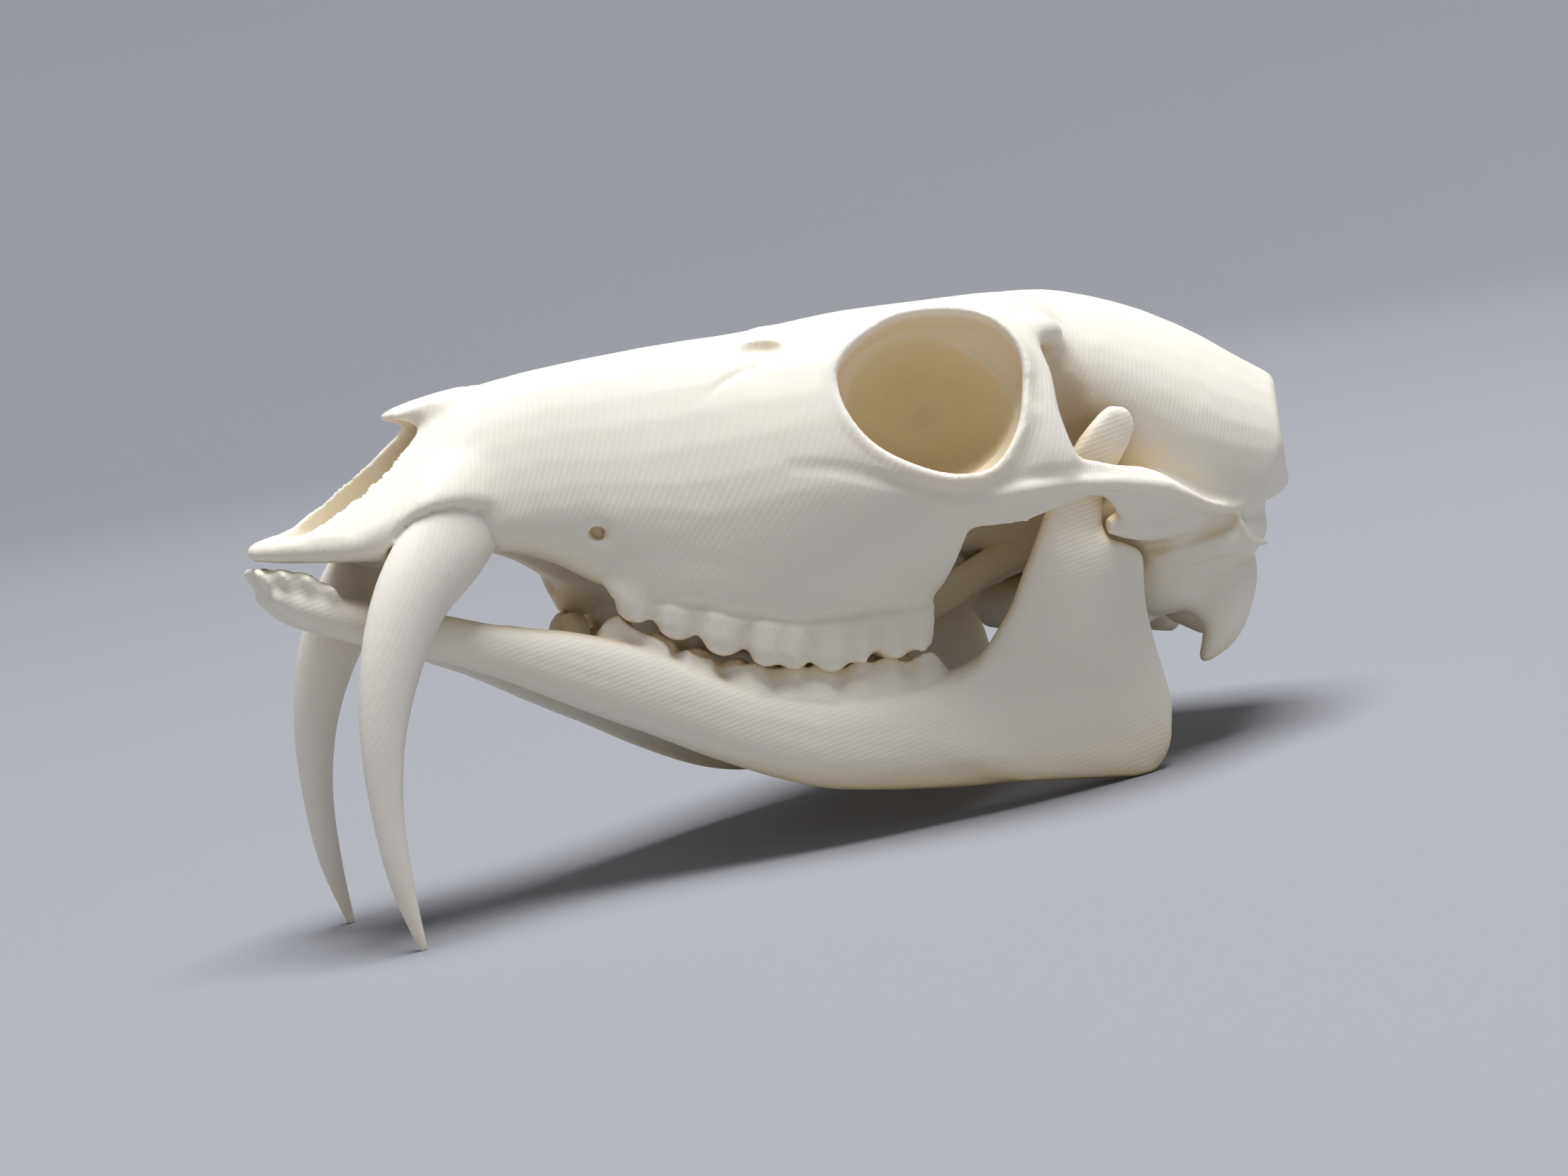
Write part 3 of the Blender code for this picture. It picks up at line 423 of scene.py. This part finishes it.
# Places where one form runs into the next: the front of the tooth row, the tusk's socket twice, the temple
# twice, the jaw joint, the knuckle for the neck and the ear's bulb.
blended(cranium, (-33.2, -10.0, 30.6), 4.0, 30)
blended(cranium, (-49.5, -11.5, 42.5), 6.0, 20)
blended(cranium, (-42.5, -10.5, 38.5), 5.0, 20)
blended(cranium, (25.0, -24.0, 59.6), 7.5, 150)
blended(cranium, (28.4, -20.6, 58.4), 6.0, 100)
blended(cranium, (41.0, -26.0, 34.5), 6.0, 60)
blended(cranium, (58.0, -7.0, 22.0), 8.0, 20)
blended(cranium, (41.0, -11.5, 21.5), 7.0, 20)

# A crease below the orbit, swellings at the cheek's rear and over the tooth roots, and the temple's hollow
ORBIT_CREASE = ((-9.2, -22.6, 41.8, 0.3), (-4.0, -25.0, 41.2, 0.5), (1.0, -27.6, 39.9, 0.9),
                (5.0, -29.6, 38.6, 1.0), (9.0, -31.2, 37.9, 1.0), (13.6, -32.8, 38.0, 0.8),
                (16.4, -33.4, 39.4, 0.0))
stroke(cranium, ORBIT_CREASE, 1.5, -0.4)

CHEEK_REAR = ((17.0, -27.0, 34.6, 0.3), (20.0, -29.5, 35.2, 1.0), (23.0, -31.5, 36.0, 0.8),
              (26.0, -32.0, 36.8, 0.2))
TOOTH_ROOTS = ((-31.0, -12.2, 29.0, 0.3), (-28.0, -12.6, 27.0, 1.0), (-23.0, -13.8, 26.6, 1.0),
               (-18.0, -15.8, 26.0, 1.0), (-12.0, -18.2, 24.8, 0.4))
TEMPLE_HOLLOW = ((29.2, -21.0, 54.0, 0.4), (30.2, -20.4, 49.9, 1.0), (31.0, -20.2, 46.0, 1.0))
stroke(cranium, CHEEK_REAR, 3.5, 1.1, towards=(-0.2, 0, -1))
stroke(cranium, TOOTH_ROOTS, 4.0, 0.3)
stroke(cranium, TEMPLE_HOLLOW, 4.5, -1.3)

# The cheek arch has a keel along it, with a groove above and a hollow below its front half
ARCH_KEEL = ((11.8, -32.1, 38.0, 0.2), (14.5, -32.8, 38.0, 0.6), (19.7, -33.7, 38.7, 1.0),
             (25.1, -34.0, 39.1, 1.0), (31.3, -33.0, 39.3, 1.0), (37.2, -31.1, 39.1, 1.0),
             (41.7, -29.0, 38.4, 1.0), (46.2, -27.0, 37.3, 1.0), (50.8, -24.5, 36.2, 0.8),
             (55.4, -22.0, 35.8, 0.4))
ABOVE_KEEL = [(x, y + 0.6, z + 1.7, share) for x, y, z, share in ARCH_KEEL]
BELOW_KEEL = [(x, y + 0.8, z - 2.4, share) for x, y, z, share in ARCH_KEEL[:5]] + [(38.0, -30.0, 36.6, 0.0)]
stroke(cranium, ABOVE_KEEL, 1.6, -0.3)
stroke(cranium, BELOW_KEEL, 2.4, -0.6)
stroke(cranium, ARCH_KEEL, 1.5, 0.45)

# The pit over the orbit, a groove down from it, a fine seam on from there, and a dent in the bar behind
ORBIT_PIT = ((-13.6, -12.4, 57.0, 0.6), (-9.6, -14.0, 57.0, 1.0), (-6.2, -16.1, 57.2, 0.3))
PIT_GROOVE = ((-12.4, -13.4, 56.4, 0.8), (-11.0, -16.6, 53.8, 0.4))
PIT_SEAM = ((-12.2, -16.2, 54.4, 1.0), (-15.0, -15.2, 52.5, 0.8), (-17.2, -15.0, 50.6, 0.2))
BAR_DENT = ((19.3, -31.7, 51.9, 1.0), (20.0, -32.3, 50.0, 1.0))
stroke(cranium, ORBIT_PIT, 3.2, -0.5)
stroke(cranium, PIT_GROOVE, 3.0, -0.35)
stroke(cranium, PIT_SEAM, 1.0, -0.25)
stroke(cranium, BAR_DENT, 2.0, -0.2)

GUM_CREASE = ((-24.4, -12.9, 24.8, 0.6), (-18.5, -15.4, 23.9, 1.0), (-12.3, -18.0, 22.6, 1.0),
              (-6.8, -19.7, 21.9, 1.0), (-1.7, -20.5, 22.6, 1.0), (2.7, -20.9, 23.3, 1.0),
              (7.3, -21.0, 23.7, 0.8), (11.0, -20.8, 24.4, 0.5))
stroke(cranium, GUM_CREASE, 1.1, -0.45)

# The small hole for a nerve above the front of the tooth row, with a lip below it
NERVE_HOLE = ((-31.8, -11.2, 33.3, 1.0), (-31.4, -11.2, 33.35, 1.0))
NERVE_LIP = ((-32.4, -11.1, 32.2, 1.0), (-31.6, -11.1, 31.9, 1.0))
stroke(cranium, NERVE_HOLE, 1.05, -1.1)
stroke(cranium, NERVE_LIP, 0.8, 0.2)

TEMPLE_SEAM = ((42.5, -20.7, 31.6, 0.8), (44.2, -21.0, 31.2, 1.0), (51.6, -21.9, 32.8, 1.0),
               (57.4, -21.1, 35.2, 0.6))
MASTOID_CREASE = ((47.8, -20.4, 27.4, 0.5), (54.1, -20.8, 29.1, 1.0), (60.0, -17.0, 30.2, 1.0),
                  (66.5, -12.0, 30.6, 0.6))
stroke(cranium, TEMPLE_SEAM, 1.3, -0.7)
stroke(cranium, MASTOID_CREASE, 1.4, -0.5)

# The nape is drawn in below the crest, and the nose is hollow between its edge and the tusk's root
NAPE = ((66.0, -14.5, 36.5, 0.6), (68.0, -12.0, 33.0, 1.0), (69.4, -10.2, 28.0, 0.9), (68.1, -9.6, 23.7, 0.9))
NOSE_SIDE = ((-66.0, -7.4, 32.6, 0.5), (-62.6, -8.3, 34.8, 1.0), (-59.8, -8.0, 37.6, 1.0),
             (-57.0, -7.6, 41.0, 0.8), (-54.0, -6.6, 45.0, 0.3))
stroke(cranium, NAPE, 6.0, 2.3, towards=(-1, 0.3, 0))
stroke(cranium, NOSE_SIDE, 4.0, -0.7)
smoothed(cranium, 1)


def thinned(piece, faces):
    """Fewer triangles, where the surface is plain."""
    triangles = sum(len(face.vertices) - 2 for face in piece.data.polygons)
    if triangles > faces:
        finish_with(piece, "DECIMATE", ratio=faces / triangles)


thinned(cranium, 190000)


def srgb(code):
    """Linear RGBA of an sRGB hex colour."""
    parts = [int(code[i:i + 2], 16) / 255 for i in (1, 3, 5)]
    return (*[((c + 0.055) / 1.055) ** 2.4 if c > 0.04045 else c / 12.92 for c in parts], 1.0)


def node(tree, kind, links=None, **settings):
    """One shader node with its settings and what feeds it. A setting named as a socket sets its value."""
    made = tree.nodes.new(kind)
    for key, value in settings.items():
        if key in made.inputs:
            made.inputs[key].default_value = value
        else:
            setattr(made, key, value)
    for socket, source in (links or {}).items():
        tree.links.new(source, made.inputs[socket])
    return made


LAYER = 0.62  # mm: real layers are about 0.1 mm, too fine to show, so they are drawn this far apart
ONE_BAND_A_MM = 314.0  # the wave texture's scale that puts its bands 1 mm apart
SEE_THROUGH = 0.0012  # m: how deep light goes into the nylon
NOSE_FROM = -0.04  # m: from here forwards the painted shade in the hollows fades, standing in for light through the thin walls
NOSE_TO = -0.055  # m: and from here forwards that painted shade is at its weakest, about a third of its full strength


def sintered_nylon(name, code, shade, layers_face, step):
    """Laser-sintered nylon: a matt ivory white, a little see-through, which gives soft edges, with a fine
    powder
    grain. Painted shade darkens its hollows: the more enclosed, the darker, from warm tan to dark brown, and
    from the nose forwards only about a third as much. Its layers face layers_face, and step is how strongly
    they show."""
    made = bpy.data.materials.new(name)
    made.use_nodes = True
    tree = made.node_tree
    shader = tree.nodes["Principled BSDF"]
    shader.inputs["Metallic"].default_value = 0.0
    shader.inputs["IOR"].default_value = 1.53
    shader.inputs["Subsurface Weight"].default_value = 0.3
    shader.inputs["Subsurface Radius"].default_value = (1.0, 0.72, 0.42)
    shader.inputs["Subsurface Scale"].default_value = SEE_THROUGH
    place = node(tree, "ShaderNodeTexCoord")
    turn = Vector(layers_face).rotation_difference(Vector((0, 0, 1))).to_euler()
    along = node(tree, "ShaderNodeMapping", {"Vector": place.outputs["Object"]}, Rotation=turn)
    lines = node(tree, "ShaderNodeTexWave", {"Vector": along.outputs["Vector"]}, wave_type="BANDS",
                 bands_direction="Z", Scale=ONE_BAND_A_MM / LAYER, Distortion=0.8, Detail=3.0)
    lines.inputs["Detail Scale"].default_value = 0.4
    grain = node(tree, "ShaderNodeTexNoise", {"Vector": place.outputs["Object"]}, Scale=2600.0, Detail=3.0)
    cloud = node(tree, "ShaderNodeTexNoise", {"Vector": place.outputs["Object"]}, Scale=55.0, Detail=4.0)
    tint = node(tree, "ShaderNodeMixRGB", {"Fac": cloud.outputs["Fac"]})
    tint.inputs["Color1"].default_value = srgb(shade)
    tint.inputs["Color2"].default_value = srgb(code)
    # Painted shade: ambient occlusion darkens the base colour in hollows, creases and gaps between parts,
    # from warm tan to dark brown where they are deepest
    hollow = node(tree, "ShaderNodeAmbientOcclusion", samples=8, Distance=0.02)
    # The painted shade is laid on in full behind NOSE_FROM and at 0.35 of its strength in front of NOSE_TO
    parts = node(tree, "ShaderNodeSeparateXYZ", {"Vector": place.outputs["Object"]})
    thin = node(tree, "ShaderNodeMapRange", {"Value": parts.outputs["X"]})
    thin.inputs["From Min"].default_value = NOSE_TO
    thin.inputs["From Max"].default_value = NOSE_FROM
    thin.inputs["To Min"].default_value = 0.35
    painted_shade_ramp = node(tree, "ShaderNodeValToRGB", {"Fac": hollow.outputs["AO"]})
    stops = painted_shade_ramp.color_ramp.elements
    stops[0].position, stops[0].color = 0.04, srgb("#8C7656")
    stops[1].position, stops[1].color = 0.8, srgb("#FFFFFF")
    for openness, warm in ((0.22, "#F7E7C4"), (0.5, "#F8EFDC")):
        stops.new(openness).color = srgb(warm)
    # Multiplies the painted shade into the mottled ivory
    ivory_with_painted_shade = node(tree, "ShaderNodeMixRGB", {"Fac": thin.outputs["Result"], "Color1": tint.outputs["Color"],
                                            "Color2": painted_shade_ramp.outputs["Color"]}, blend_type="MULTIPLY")
    tree.links.new(ivory_with_painted_shade.outputs["Color"], shader.inputs["Base Color"])
    steps = node(tree, "ShaderNodeBump", {"Height": lines.outputs["Fac"]}, Strength=step, Distance=0.00008)
    powder = node(tree, "ShaderNodeBump", {"Height": grain.outputs["Fac"], "Normal": steps.outputs["Normal"]},
                  Strength=0.3, Distance=0.00005)
    tree.links.new(powder.outputs["Normal"], shader.inputs["Normal"])
    matt = node(tree, "ShaderNodeMapRange", {"Value": grain.outputs["Fac"]})
    matt.inputs["To Min"].default_value = 0.5
    matt.inputs["To Max"].default_value = 0.66
    tree.links.new(matt.outputs["Result"], shader.inputs["Roughness"])
    return made


def dressed(piece, node_name, finish):
    """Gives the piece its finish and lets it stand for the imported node."""
    piece.data.materials.clear()
    piece.data.materials.append(finish)
    alone(piece)
    bpy.ops.object.shade_smooth()
    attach(piece, "root")
    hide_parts(node_name)


cranium_nylon = sintered_nylon("sintered_nylon_cranium", "#F4EEDF", "#F0E8D6", (0.8, 0.35, -0.5), 0.2)
dressed(cranium, "cranium", cranium_nylon)


# Mandible, left and right: two thin prints that meet at the chin, in the same nylon. Their layers lie
# nearly level. The left one is modelled, with its tooth row and incisors, and the right one is its mirror.

def mandible_kept(p):
    """The cheek teeth keep their shape, and the rest keeps a little of its own, so that edges stay."""
    teeth = rise(11.0, 12.5, p[:, 2]) * (1 - rise(14.5, 16, p[:, 0])) * rise(-30, -28, p[:, 0])
    return np.maximum(teeth, 0.3)


LOWER_OUTER = ((-30.0, -9.6, -9.2), (-26.8, -10.6, -10.6), (-22.6, -13.2, -13.8), (-17.8, -14.6, -16.0),
               (-13.0, -15.7, -17.2), (-8.8, -17.3, -18.4), (-4.2, -18.3, -19.7), (0.0, -19.0, -20.5),
               (4.4, -19.6, -21.1), (8.6, -20.1, -21.7), (12.6, -20.5, -22.0), (15.3, -20.9, -22.0))
LOWER_EDGE = ((-29.9, 20.6, 0.3), (-29.5, 21.7, 0.6), (-28.8, 22.5, 0.8), (-27.5, 23.1, 1.0),
              (-26.1, 21.6, 0.8), (-24.6, 20.7, 0.7), (-22.3, 19.5, 0.9), (-21.4, 18.2, 0.0),
              (-19.8, 18.6, 1.0), (-18.2, 17.8, 0.6), (-16.9, 17.5, 0.9), (-15.6, 16.3, 0.0),
              (-13.9, 16.6, 0.8), (-11.0, 16.9, 1.0), (-8.9, 16.0, 0.0),
              (-6.6, 17.0, 1.0), (-4.8, 16.4, 0.4), (-2.6, 17.2, 1.0), (-0.2, 16.2, 0.0), (2.0, 17.4, 1.0),
              (3.8, 16.8, 0.4), (6.0, 17.8, 1.0), (8.4, 16.8, 0.0), (10.4, 17.8, 1.0), (12.0, 18.0, 0.9),
              (13.2, 16.8, 0.7), (14.4, 15.2, 0.4))
LOWER_GUM = ((-29.9, 20.0), (-28.1, 19.2), (-22.8, 16.6), (-17.3, 13.9), (-13.3, 13.0), (-8.8, 12.4),
             (-0.9, 11.5), (6.5, 12.2), (12.8, 13.9), (15.3, 14.8))

# Incisors of one side, from the middle to the corner: a point of the crown edge, then of the root's line
INCISOR_ARC = ((-71.3, -0.3, 28.0, -66.2, -0.4, 22.8), (-71.1, -1.9, 28.4, -66.0, -1.5, 22.8),
               (-70.4, -3.4, 28.5, -65.6, -2.4, 22.8), (-69.2, -4.7, 28.4, -65.0, -3.2, 22.8),
               (-67.8, -5.6, 28.2, -64.4, -3.8, 22.8), (-66.2, -6.1, 27.7, -63.6, -4.3, 22.9),
               (-64.6, -6.3, 26.4, -62.6, -4.6, 23.1), (-62.8, -6.0, 25.0, -61.4, -4.8, 23.3))
TEETH_IN_ARC = 4


def incisor_rows():
    """The arc in fine steps, with each crown's edge bowed a little, and how near its middle each step is."""
    rows = []
    steps = 8
    for i, (a, b) in enumerate(zip(INCISOR_ARC, INCISOR_ARC[1:])):
        for k in range(steps):
            edge = Vector(a[:3]).lerp(Vector(b[:3]), k / steps)
            root = Vector(a[3:]).lerp(Vector(b[3:]), k / steps)
            crown = abs(math.sin(math.pi * TEETH_IN_ARC * (i + k / steps) / (len(INCISOR_ARC) - 1)))
            rows.append((edge + Vector((0, 0, 0.28 * crown ** 0.6 - 0.1)), root, crown))
    return rows


def fan(name, rows, edge_half, root_half):
    """A plate of teeth side by side, from crown edges down to roots. Each tooth swells at its middle."""
    rings = []
    for i, (edge, root, crown) in enumerate(rows):
        before, after = rows[max(i - 4, 0)][0], rows[min(i + 4, len(rows) - 1)][0]
        tooth = root - edge
        out = (after - before).cross(tooth).normalized()
        belly = edge + tooth * 0.35
        swell = 0.05 * crown
        ring = [edge + out * (edge_half + swell), belly + out * ((edge_half + root_half) * 0.55 + swell),
                root + out * root_half, root - out * root_half, belly - out * (edge_half + root_half) * 0.4,
                edge - out * edge_half]
        rings.append([tuple(point) for point in ring])
    return lofted(name, rings)


mandible = casting("mandible_left", "mandible_print_left")
reskinned(mandible, 0.4)
smoothed(mandible, 16, mandible_kept)
lower_row = tooth_wall("lower_teeth", LOWER_OUTER, LOWER_EDGE, LOWER_GUM, 0.8, 3.6, -1)
merged(mandible, [lower_row, fan("incisors", incisor_rows(), 0.4, 0.7)], 0.33)
smoothed(mandible, 3)
blended(mandible, (-65.8, -3.2, 23.4), 4.5, 30)
JOINT_KNOB = ((34.8, -25.8, 30.8, 0.6), (36.5, -25.6, 30.7, 1.0), (38.7, -25.1, 30.3, 1.0),
              (41.0, -24.0, 30.0, 1.0))
stroke(mandible, JOINT_KNOB, 3.0, 0.9, towards=(0, 0, 1), sides=(1,))
thinned(mandible, 120000)

mandible_right = other_side(mandible)
mandible_right.name = "mandible_print_right"
mandible_nylon = sintered_nylon("sintered_nylon_jaw", "#F4EEDF", "#F0E8D6", (-0.12, 0.2, 1.0), 0.2)
dressed(mandible, "mandible_left", mandible_nylon)
dressed(mandible_right, "mandible_right", mandible_nylon)


# Tusks: the two long upper canines, printed on their own in the same nylon, a little smoother than the bone,
# and pushed into their sockets with glue.

tusk_nylon = sintered_nylon("sintered_nylon_tusk", "#F4EEE1", "#F0E9DA", (0.75, 0.3, -0.6), 0.12)
for side in ("left", "right"):
    tusk = casting("canine_" + side, "tusk_print_" + side)
    finish_with(tusk, "SUBSURF", levels=2, render_levels=2)
    dressed(tusk, "canine_" + side, tusk_nylon)


# Stage: a round table top of plain pale grey paper that sweeps up into a wall all round, with one large soft
# lamp almost overhead and a faint warm light from every side.

FLAT = 1.2  # m: from the middle to where the paper starts to rise
SWEEP = 0.8  # m: the radius of its bend
WALL_TOP = 2.4
COVE = [(FLAT, 0.0)]
for degrees in range(10, 91, 8):
    turn = math.radians(degrees)
    COVE.append((FLAT + SWEEP * math.sin(turn), SWEEP - SWEEP * math.cos(turn)))
COVE.append((FLAT + SWEEP, WALL_TOP))
bpy.ops.object.select_all(action="DESELECT")
bpy.ops.mesh.primitive_circle_add(vertices=96, radius=FLAT, fill_type="NGON", location=(0, 0, 0))
cove = bpy.context.object
cove.name = "paper_cove"
bpy.ops.object.mode_set(mode="EDIT")
bpy.ops.mesh.select_mode(type="EDGE")
bpy.ops.mesh.select_all(action="SELECT")
bpy.ops.mesh.region_to_loop()
for (r0, z0), (r1, z1) in zip(COVE, COVE[1:]):
    bpy.ops.mesh.extrude_edges_move(TRANSFORM_OT_translate={"value": (0, 0, z1 - z0)})
    bpy.ops.transform.resize(value=(r1 / r0, r1 / r0, 1.0), center_override=(0, 0, 0))
bpy.ops.mesh.select_all(action="SELECT")
bpy.ops.mesh.normals_make_consistent(inside=True)
bpy.ops.object.mode_set(mode="OBJECT")
bpy.ops.object.shade_smooth()
paper = bpy.data.materials.new("matt_paper")
paper.use_nodes = True
paper.node_tree.nodes["Principled BSDF"].inputs["Base Color"].default_value = srgb("#97979A")
paper.node_tree.nodes["Principled BSDF"].inputs["Roughness"].default_value = 0.95
cove.data.materials.append(paper)

LAMP_PLACE = Vector((0.15, -0.20, 2.45))
LAMP_AIM = Vector((0, 0, 0.04))
light = bpy.data.lights.new("soft_lamp", "AREA")
light.size = 1.3
light.energy = 92.0
light.color = srgb("#F6F9FF")[:3]
soft_lamp = bpy.data.objects.new("soft_lamp", light)
bpy.context.scene.collection.objects.link(soft_lamp)
soft_lamp.location = LAMP_PLACE
soft_lamp.rotation_euler = (LAMP_AIM - LAMP_PLACE).to_track_quat("-Z", "Y").to_euler()

world = bpy.data.worlds.new("room")
world.use_nodes = True
world.node_tree.nodes["Background"].inputs["Color"].default_value = srgb("#F2E8DC")
world.node_tree.nodes["Background"].inputs["Strength"].default_value = 0.02
bpy.context.scene.world = world
bpy.context.scene.view_settings.view_transform = "Standard"

# Camera: in the place, at the angle and with the lens that were fitted to the photograph
CAMERA_PLACE = (SHIFT - 0.17142, -0.38971, 0.07680)
CAMERA_TURN = (83.899, 10.032, -25.416)
camera = bpy.data.objects.new("camera", bpy.data.cameras.new("camera"))
bpy.context.scene.collection.objects.link(camera)
camera.location = CAMERA_PLACE
camera.rotation_euler = [math.radians(a) for a in CAMERA_TURN]
camera.data.sensor_width = 36.0
camera.data.lens = 74.539
camera.data.clip_start = 0.01
bpy.context.scene.camera = camera
